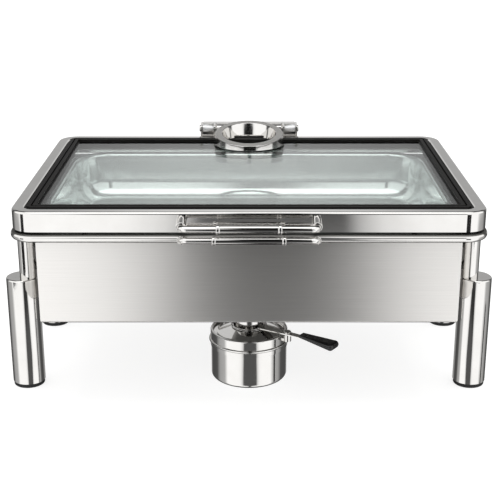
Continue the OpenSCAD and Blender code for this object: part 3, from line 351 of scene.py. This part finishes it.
def polishedOutside(name, zones):  # mirror polished where it shows, duller inside, in two zones of height; painted shade: past the low and high edges the polish gives way to the inside's duller grey
    material, tree, place = newMaterial(name)
    haze = addNode(tree, "ShaderNodeTexNoise", {
        "Vector": place, "Scale": 1 / (polishSet["marks"] * mm), "Detail": 3})
    smooth, coarse = polishSet["roughness"]
    polish = addNode(tree, "ShaderNodeMapRange", {
        "Value": haze.outputs[0], "To Min": smooth, "To Max": coarse})
    dark, pale = (linear(code) for code in polishSet["hues"])
    bright = addNode(tree, "ShaderNodeMix", {
        "Factor": haze.outputs[0], "A": dark, "B": pale}, data_type="RGBA")
    # how far out from the straight runs' ends
    level = addNode(tree, "ShaderNodeMapping", {"Vector": place, "Scale": (1, 1, 0)})
    folded = addNode(tree, "ShaderNodeVectorMath", {0: level.outputs[0]}, operation="ABSOLUTE")
    past = addNode(tree, "ShaderNodeVectorMath", {
        0: folded.outputs[0], 1: Vector(outlineSet["straight"]) * mm}, operation="SUBTRACT")
    clipped = addNode(tree, "ShaderNodeVectorMath", {0: past.outputs[0], 1: (0, 0, 0)}, operation="MAXIMUM")
    reach = addNode(tree, "ShaderNodeVectorMath", {0: clipped.outputs[0]}, operation="LENGTH")
    outer = addNode(tree, "ShaderNodeMath", {
        0: reach.outputs["Value"], 1: zones["skin"] * mm}, operation="GREATER_THAN")
    # polished: the outer skin and the lid's border, between the low and high edges; past these edges the
    # duller hue is painted shade, at the gap under the lid and under the rim's bead
    height = addNode(tree, "ShaderNodeSeparateXYZ", {"Vector": place}).outputs["Z"]
    cap = addNode(tree, "ShaderNodeMath", {0: height, 1: outlineSet["border"] * mm}, operation="GREATER_THAN")
    either = addNode(tree, "ShaderNodeMath", {0: outer.outputs[0], 1: cap.outputs[0]}, operation="MAXIMUM")
    low, high = zones["low"], zones["high"]
    between = addNode(tree, "ShaderNodeMath", {
        0: height, 1: (low + high) / 2 * mm, 2: (high - low) / 2 * mm}, operation="COMPARE")
    shown = addNode(tree, "ShaderNodeMath", {
        0: either.outputs[0], 1: between.outputs[0]}, operation="MULTIPLY")
    # inside: one hue and roughness below the split, another above it; the darker of the two is painted shade
    # under the lid
    upper = addNode(tree, "ShaderNodeMath", {0: height, 1: zones["split"] * mm}, operation="GREATER_THAN")
    (lowHue, lowRough), (highHue, highRough) = zones["below"], zones["above"]
    inside = addNode(tree, "ShaderNodeMix", {
        "Factor": upper.outputs[0], "A": linear(lowHue), "B": linear(highHue)}, data_type="RGBA")
    satin = addNode(tree, "ShaderNodeMapRange", {
        "Value": upper.outputs[0], "To Min": lowRough, "To Max": highRough})
    hue = addNode(tree, "ShaderNodeMix", {
        "Factor": shown.outputs[0], "A": inside.outputs["Result"], "B": bright.outputs["Result"]},
        data_type="RGBA")
    rough = addNode(tree, "ShaderNodeMapRange", {
        "Value": shown.outputs[0], "To Min": satin.outputs[0], "To Max": polish.outputs[0]})
    bsdf = addNode(tree, "ShaderNodeBsdfPrincipled", {
        "Base Color": hue.outputs["Result"], "Metallic": 1.0, "Roughness": rough.outputs[0]})
    addNode(tree, "ShaderNodeOutputMaterial", {"Surface": bsdf.outputs[0]})
    return material


# Stainless steel of the water pan: its bead polished, the rest pickled grey; painted shade: a darker grey
# above 238 where the lid shades it, and the bead left unpolished above 240.2 and below 233 for the dark lines
# at the lid's gap and under the bead
rimSet = {"skin": 26.5, "low": 233, "high": 240.2, "split": 238,
          "below": ("#a3a29f", 0.5), "above": ("#6f6e6b", 0.5)}
steelRim = polishedOutside("stainlessRimPolishedPaintedShade", rimSet)

# Stainless steel of the lid: polished outside, satin inside, its lower edge a darker dull grey painted as the
# shade in the gap above the rim
lidSet = {"skin": 27.3, "low": 245, "high": 300, "split": 245.5,
          "below": ("#6f6e6b", 0.5), "above": ("#f6f8f6", 0.12)}
steelLid = polishedOutside("stainlessLidPolishedPaintedShade", lidSet)

# Stainless steel, deep drawn and satin: soft even shine with faint drawing marks, the bottom rough and dull,
# its darker grey painted shade
satinSet = {
    "dullTo": 191.4, "shineFrom": 194.5, "marks": 45,  # mm, the first two above the table
    "hues": ("#eaedec", "#f5f7f6"), "roughness": (0.1, 0.15), "floorShadeHue": "#969a98", "dullRoughness": 0.6,
    "bloom": 0.22, "bloomRoughness": 0.6,
}
steelSatin, tree, place = newMaterial("stainlessSatinFloorShade")
height = addNode(tree, "ShaderNodeSeparateXYZ", {"Vector": place}).outputs["Z"]
dull = addNode(tree, "ShaderNodeMapRange", {
    "Value": height, "From Min": satinSet["dullTo"] * mm, "From Max": satinSet["shineFrom"] * mm,
    "To Min": 1.0, "To Max": 0.0})
marks = addNode(tree, "ShaderNodeTexNoise", {
    "Vector": place, "Scale": 1 / (satinSet["marks"] * mm), "Detail": 2})
smooth, coarse = satinSet["roughness"]
shine = addNode(tree, "ShaderNodeMapRange", {"Value": marks.outputs[0], "To Min": smooth, "To Max": coarse})
rough = addNode(tree, "ShaderNodeMapRange", {
    "Value": dull.outputs[0], "To Min": shine.outputs[0], "To Max": satinSet["dullRoughness"]})
grey, pale = (linear(code) for code in satinSet["hues"])
drawn = addNode(tree, "ShaderNodeMix", {"Factor": marks.outputs[0], "A": grey, "B": pale}, data_type="RGBA")
# the bottom's darker grey is painted shade
hue = addNode(tree, "ShaderNodeMix", {
    "Factor": dull.outputs[0], "A": drawn.outputs["Result"], "B": linear(satinSet["floorShadeHue"])},
    data_type="RGBA")
sheen = addNode(tree, "ShaderNodeBsdfPrincipled", {
    "Base Color": hue.outputs["Result"], "Metallic": 1.0, "Roughness": rough.outputs[0]})
bloom = addNode(tree, "ShaderNodeBsdfPrincipled", {
    "Base Color": hue.outputs["Result"], "Metallic": 1.0, "Roughness": satinSet["bloomRoughness"]})
satin = addNode(tree, "ShaderNodeMixShader", {0: satinSet["bloom"], 1: sheen.outputs[0], 2: bloom.outputs[0]})
addNode(tree, "ShaderNodeOutputMaterial", {"Surface": satin.outputs[0]})

# Stainless steel, bead blasted: the flat top of the ring, an even grey without reflections
blastedSet = {"grit": 0.8, "hues": ("#e2e0dd", "#f2f0ed"), "roughness": 0.5,
              "pitDepth": 0.1, "pitStrength": 0.08}
steelBlasted, tree, place = newMaterial("stainlessBlasted")
pits = addNode(tree, "ShaderNodeTexNoise", {
    "Vector": place, "Scale": 1 / (blastedSet["grit"] * mm), "Detail": 3})
grey, pale = (linear(code) for code in blastedSet["hues"])
hue = addNode(tree, "ShaderNodeMix", {"Factor": pits.outputs[0], "A": grey, "B": pale}, data_type="RGBA")
grit = addNode(tree, "ShaderNodeBump", {
    "Height": pits.outputs[0], "Strength": blastedSet["pitStrength"],
    "Distance": blastedSet["pitDepth"] * mm})
bsdf = addNode(tree, "ShaderNodeBsdfPrincipled", {
    "Base Color": hue.outputs["Result"], "Metallic": 1.0, "Roughness": blastedSet["roughness"],
    "Normal": grit.outputs[0]})
addNode(tree, "ShaderNodeOutputMaterial", {"Surface": bsdf.outputs[0]})

# Tempered float glass: clear with a faint green cast, mirrors more the flatter it is seen
glassSet = {"wave": 120, "waveDepth": 1, "waveStrength": 0.004, "tint": "#fbfefd",
            "leastMirror": 0.04, "falloff": 5.0}
glassFloat, tree, place = newMaterial("glassTempered")
waves = addNode(tree, "ShaderNodeTexNoise", {
    "Vector": place, "Scale": 1 / (glassSet["wave"] * mm), "Detail": 1})
ripple = addNode(tree, "ShaderNodeBump", {
    "Height": waves.outputs[0], "Strength": glassSet["waveStrength"], "Distance": glassSet["waveDepth"] * mm})
clear = addNode(tree, "ShaderNodeBsdfTransparent", {"Color": linear(glassSet["tint"])})
mirror = addNode(tree, "ShaderNodeBsdfGlossy", {
    "Color": white, "Roughness": 0.0, "Normal": ripple.outputs[0]})
facing = addNode(tree, "ShaderNodeLayerWeight", {"Blend": 0.5}).outputs["Facing"]
steep = addNode(tree, "ShaderNodeMath", {0: facing, 1: glassSet["falloff"]}, operation="POWER")
share = addNode(tree, "ShaderNodeMapRange", {
    "Value": steep.outputs[0], "To Min": glassSet["leastMirror"], "To Max": 1.0})
pane = addNode(tree, "ShaderNodeMixShader", {0: share.outputs[0], 1: clear.outputs[0], 2: mirror.outputs[0]})
addNode(tree, "ShaderNodeOutputMaterial", {"Surface": pane.outputs[0]})

finishes = {
    "brushed_steel": steelBrushed, "polished_steel": steelPolished, "satin_steel": steelSatin,
    "fastener_steel": steelTurned, "damper_metal": zincBright, "glass": glassFloat,
    "gasket_rubber": rubberGasket, "foot_rubber": rubberFoot, "black_plastic": phenolicBlack,
}
ownFinish = {"water_pan": steelRim, "lid_frame": steelLid}
slotOf = {row["node"]: row["material_slot"] for row in frame["record"]["subparts"]}
bodyOf = {name: body for body, names in frame["record"]["behaviour"]["bodies"].items() for name in names}
for node, slot in slotOf.items():
    for holder in nodes[node].material_slots:
        holder.material = ownFinish.get(node, finishes[slot])
print("finishes:", len(finishes))

# How meshes are cleaned, rounded and shaded: mm, and degrees for flat and sharp
meshSet = {"weld": 0.002, "flat": 0.3, "sharp": 32, "footZone": 0.1, "footSegments": 5, "round": 0.5,
           "turnSteps": 96, "turnArc": 4, "turnWeld": 0.001, "turnThin": 0.0005}


def addPiece(bm, name, node, first=None, extra=()):  # the body of the node it stands for, and by default the finish of that node's slot
    mesh = bpy.data.meshes.new(name)
    bm.to_mesh(mesh)
    bm.free()
    mesh.shade_smooth()
    mesh.set_sharp_from_angle(angle=math.radians(meshSet["sharp"]))
    for material in (first or finishes[slotOf[node]], *extra):
        mesh.materials.append(material)
    piece = bpy.data.objects.new(name, mesh)
    scene.collection.objects.link(piece)
    piece.modifiers.new("evenShade", "WEIGHTED_NORMAL").keep_sharp = True
    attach(piece, bodyOf[node])
    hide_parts(node)


def welded(node):  # a CAD node's own shape, its triangles joined to flat faces
    bm = bmesh.new()
    bm.from_mesh(nodes[node].data)
    bmesh.ops.remove_doubles(bm, verts=bm.verts[:], dist=meshSet["weld"] * mm)
    flat = math.radians(meshSet["flat"])
    bmesh.ops.dissolve_limit(bm, angle_limit=flat, verts=bm.verts[:], edges=bm.edges[:])
    return bm


def sharpEdges(bm):
    least = math.radians(meshSet["sharp"])
    return [e for e in bm.edges if len(e.link_faces) == 2 and e.calc_face_angle(0) > least]


def roundEdges(bm, edges, width, segments):
    bmesh.ops.bevel(bm, geom=edges, offset=width * mm, offset_type="OFFSET", segments=segments,
                    profile=meshSet["round"], affect="EDGES", clamp_overlap=True, material=-1)


def softened(node, width, segments=3, foot=0):  # the CAD shape with its sharp edges rounded, more at its foot
    bm = welded(node)
    sharp = sharpEdges(bm)
    if foot:
        base = min(v.co.z for v in bm.verts) + meshSet["footZone"] * mm
        low = [e for e in sharp if max(v.co.z for v in e.verts) < base]
        sharp = [e for e in sharp if e not in low]
        roundEdges(bm, low, foot, meshSet["footSegments"])
    roundEdges(bm, sharp, width, segments)
    return bm


def turned(corners, steps=meshSet["turnSteps"]):  # corners (radius, height, rounding) in mm, spun about Z
    bm = bmesh.new()
    ends = [bm.verts.new((radius * mm, 0, height * mm)) for radius, height, rounding in corners]
    bm.faces.new(ends)
    for width in sorted({rounding for radius, height, rounding in corners if rounding}):
        bends = [v for v, corner in zip(ends, corners) if corner[2] == width]
        bmesh.ops.bevel(bm, geom=bends, offset=width * mm, offset_type="OFFSET", segments=meshSet["turnArc"],
                        profile=meshSet["round"], affect="VERTICES", material=-1)
    bmesh.ops.delete(bm, geom=bm.faces[:], context="FACES_ONLY")
    bmesh.ops.spin(bm, geom=bm.verts[:] + bm.edges[:], cent=(0, 0, 0), axis=(0, 0, 1), dvec=(0, 0, 0),
                   angle=math.tau, steps=steps, use_merge=True, use_duplicate=False)
    bmesh.ops.remove_doubles(bm, verts=bm.verts[:], dist=meshSet["turnWeld"] * mm)
    bmesh.ops.dissolve_degenerate(bm, dist=meshSet["turnThin"] * mm, edges=bm.edges[:])
    bmesh.ops.recalc_face_normals(bm, faces=bm.faces[:])
    return bm


def placed(bm, matrix):
    bmesh.ops.transform(bm, matrix=matrix, verts=bm.verts[:])
    return bm


def middle(node):  # the middle of a node's box
    low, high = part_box(node)
    return (low + high) / 2


# Sheet, bracket and moulded pieces: the CAD shapes with the small edge radii that catch the light, in mm
edgeSet = {
    "hinge_bracket": 0.5, "hinge_arm": 0.6, "hinge_damper_left": 0.5, "hinge_damper_right": 0.5,
    "damper_arm": 0.3, "pivot_bracket": 0.5, "ring_seal": 0.25, "leg_spacers": 0.6, "lid_bumpers": 0.4,
    "burner_collar": 0.35, "burner_cup": 0.4, "hinge_pin_caps": 0.5, "food_pan": 0.3,
}
footRounding = {"burner_cup": 1.6}
darkened = {"leg_spacers": steelOxide}
for node, width in edgeSet.items():
    bm = softened(node, width, foot=footRounding.get(node, 0))
    addPiece(bm, node + "_soft", node, first=darkened.get(node))
print("softened copies:", len(edgeSet))

# Burner's cone and the damper's cap: spun sheet with rounded edges, in mm
coneSet = {"rim": 48.4, "foot": 42, "top": 23, "flame": 20, "sheet": 1, "edge": 0.3,
           "footBend": 1.6, "topBend": 1.0}
low, high = (corner.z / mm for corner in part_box("burner_cone"))
rim, foot, top, flame, sheet, edge = (
    coneSet[size] for size in ("rim", "foot", "top", "flame", "sheet", "edge"))
burnerAxis = Matrix.Translation(middle("burner_cup") * Vector((1, 1, 0)))
bm = turned([(rim, low, 0), (rim, low + sheet, edge), (foot, low + sheet, coneSet["footBend"]),
             (top, high, coneSet["topBend"]), (flame, high, edge), (flame, high - sheet, 0),
             (top, high - sheet, 0), (foot, low, 0)])
addPiece(placed(bm, burnerAxis), "coneSpun", "burner_cone")
capSet = {"radius": 22, "brim": 24.5, "sheet": 1.2, "crown": 3, "edge": 0.5, "neck": 0.8}
low, high = (corner.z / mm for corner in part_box("damper_cap"))
radius, brim, sheet, crown = (capSet[size] for size in ("radius", "brim", "sheet", "crown"))
bm = turned([(radius - sheet, low, 0), (brim, low, capSet["edge"]), (brim, low + sheet, capSet["edge"]),
             (radius, low + sheet, capSet["neck"]), (radius, high, crown), (0, high, 0), (0, high - sheet, 0),
             (radius - sheet, high - sheet, crown - sheet)])
addPiece(placed(bm, burnerAxis), "capSpun", "damper_cap")
print("burner's cone and cap")

# Hinge housings: polished outside, their pockets as turned steel, its darker hue partly painted shade in the
# recess, a plated lip in front, in mm
housingSet = {"edge": 0.9, "wall": 1.6, "rear": 1, "lipLow": 4.8, "lipHigh": 8.2, "lipFront": 0.2,
              "lipShort": 4, "rounding": 1.1, "segments": 4, "near": 0.05}
for node in ("hinge_housing_left", "hinge_housing_right"):
    low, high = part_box(node)
    inset = Vector((housingSet["wall"], 0, housingSet["wall"])) * mm
    bm = softened(node, housingSet["edge"])
    # pocket faces: duller turned steel, its darker hue partly painted shade in the recess
    for face in bm.faces:
        spot = face.calc_center_median()
        deep = low.z + inset.z < spot.z < high.z - inset.z and spot.y < high.y - housingSet["rear"] * mm
        if deep and low.x + inset.x < spot.x < high.x - inset.x:
            face.material_index = 1
    lipLow, lipHigh, near = housingSet["lipLow"], housingSet["lipHigh"], housingSet["near"]
    size = Vector((high.x - low.x - 2 * inset.x, high.y - low.y - housingSet["lipShort"] * mm,
                   (lipHigh - lipLow) * mm))
    spot = Vector(((low.x + high.x) / 2, low.y + size.y / 2 + housingSet["lipFront"] * mm,
                   low.z + lipLow * mm + size.z / 2))
    fitted = Matrix.Translation(spot) @ Matrix.Diagonal((*size, 1))
    lip = bmesh.ops.create_cube(bm, size=1, matrix=fitted)["verts"]
    lipEdges = [e for e in bm.edges if all(v in lip for v in e.verts)]
    roundEdges(bm, lipEdges, housingSet["rounding"], housingSet["segments"])
    for face in bm.faces:
        spot = (face.calc_center_median() - low) / mm
        level = lipLow - near < spot.z < lipHigh + near
        if level and housingSet["wall"] - near < spot.x < (high.x - low.x) / mm - housingSet["wall"] + near:
            face.material_index = 2
    addPiece(bm, node + "_open", node, extra=[steelTurned, zincBright])
print("hinge housings")

# Gasket: two rounded ribs round the glass, which stand above the lid's border, in mm
gasketSet = {"ribTop": 1.9, "above": 269.2, "rounding": 0.9, "segments": 3}
bm = welded("glass_gasket")
ribFrom = gasketSet["above"] * mm
bmesh.ops.translate(bm, verts=[v for v in bm.verts if v.co.z > ribFrom], vec=(0, 0, gasketSet["ribTop"] * mm))
crests = [e for e in sharpEdges(bm) if all(v.co.z > ribFrom for v in e.verts)]
roundEdges(bm, crests, gasketSet["rounding"], gasketSet["segments"])
addPiece(bm, "gasketRibbed", "glass_gasket")
print("gasket")

# Slanted ring: polished leaning walls, its flat top bead blasted, in mm and degrees
ringSet = {"edge": 0.9, "segments": 4, "centreY": 156.5, "base": 270.1, "frontTop": 277.5, "outer": 52.5,
           "bore": 40.5, "slope": 8.9, "outerLean": 6, "boreLean": 11, "within": 2}
slope, outerLean, boreLean = (math.radians(ringSet[angle]) for angle in ("slope", "outerLean", "boreLean"))
bm = softened("slanted_ring", ringSet["edge"], ringSet["segments"])
up = Vector((0, -math.sin(slope), math.cos(slope)))
centre = Vector((0, ringSet["centreY"], 0)) * mm
for vert in bm.verts:
    arm = (vert.co - centre) * Vector((1, 1, 0))
    top = ringSet["frontTop"] * mm + (arm.y + ringSet["outer"] * mm) * math.tan(slope)
    if arm.length > (ringSet["outer"] + ringSet["bore"]) / 2 * mm:
        lean = (vert.co.z - ringSet["base"] * mm) * math.tan(outerLean)
    else:
        lean = (top - vert.co.z) * math.tan(boreLean)
    vert.co -= arm.normalized() * lean
bm.normal_update()
for face in bm.faces:
    if face.normal.angle(up) < math.radians(ringSet["within"]):
        face.material_index = 1
addPiece(bm, "slantedRing", "slanted_ring", extra=[steelBlasted])
print("slanted ring")

# Grips of the two handles: a tube on the bar with a rounded collar at each end, in mm
gripSet = {"bore": 4.1, "radius": 5, "collar": 5.8, "collarWidth": 4, "step": 0.5, "rounding": 1.1,
           "neck": 0.3, "steps": 64}
for node, name in (("lid_handle_grip", "lidGrip"), ("pan_handle_grip", "panGrip")):
    low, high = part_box(node)
    half = (high.x - low.x) / 2 / mm
    inner = half - gripSet["collarWidth"]
    step, rounding, neck = gripSet["step"], gripSet["rounding"], gripSet["neck"]
    bore, tube, collar = gripSet["bore"], gripSet["radius"], gripSet["collar"]
    bm = turned([(bore, -half, 0), (collar, -half, rounding), (collar, -inner, rounding),
                 (tube, -inner + step, neck), (tube, inner - step, neck),
                 (collar, inner, rounding), (collar, half, rounding), (bore, half, 0)], gripSet["steps"])
    addPiece(placed(bm, Matrix.Translation(middle(node)) @ Matrix.Rotation(math.pi / 2, 4, "Y")), name, node)
print("handle grips")

# Feet: rubber, with a groove round the side and a plug up into the sleeve, in mm
footSet = {"bottom": 1.5, "groove": 0.8, "grooveLow": 2.6, "grooveHigh": 4.0, "grooveSlope": 0.4,
           "grooveLip": 0.3, "corner": 0.2, "height": 6, "plugStep": 0.6, "plugHeight": 17.5,
           "plugRounding": 0.8, "steps": 64}
for node in [n for n in nodes if n.startswith("foot_pad")]:
    low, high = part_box(node)
    radius = (high.x - low.x) / 2 / mm
    plug, waist = radius - footSet["plugStep"], radius - footSet["groove"]
    grooveLow, grooveHigh, slant = footSet["grooveLow"], footSet["grooveHigh"], footSet["grooveSlope"]
    lip, corner = footSet["grooveLip"], footSet["corner"]
    bm = turned([(0, 0, 0), (radius, 0, footSet["bottom"]), (radius, grooveLow, lip),
                 (waist, grooveLow + slant, corner), (waist, grooveHigh - slant, corner),
                 (radius, grooveHigh, lip), (radius, footSet["height"], corner), (plug, footSet["height"], 0),
                 (plug, footSet["plugHeight"], footSet["plugRounding"]), (0, footSet["plugHeight"], 0)],
                footSet["steps"])
    centre = middle(node)
    addPiece(placed(bm, Matrix.Translation((centre.x, centre.y, 0))), node + "_moulded", node)
print("feet")
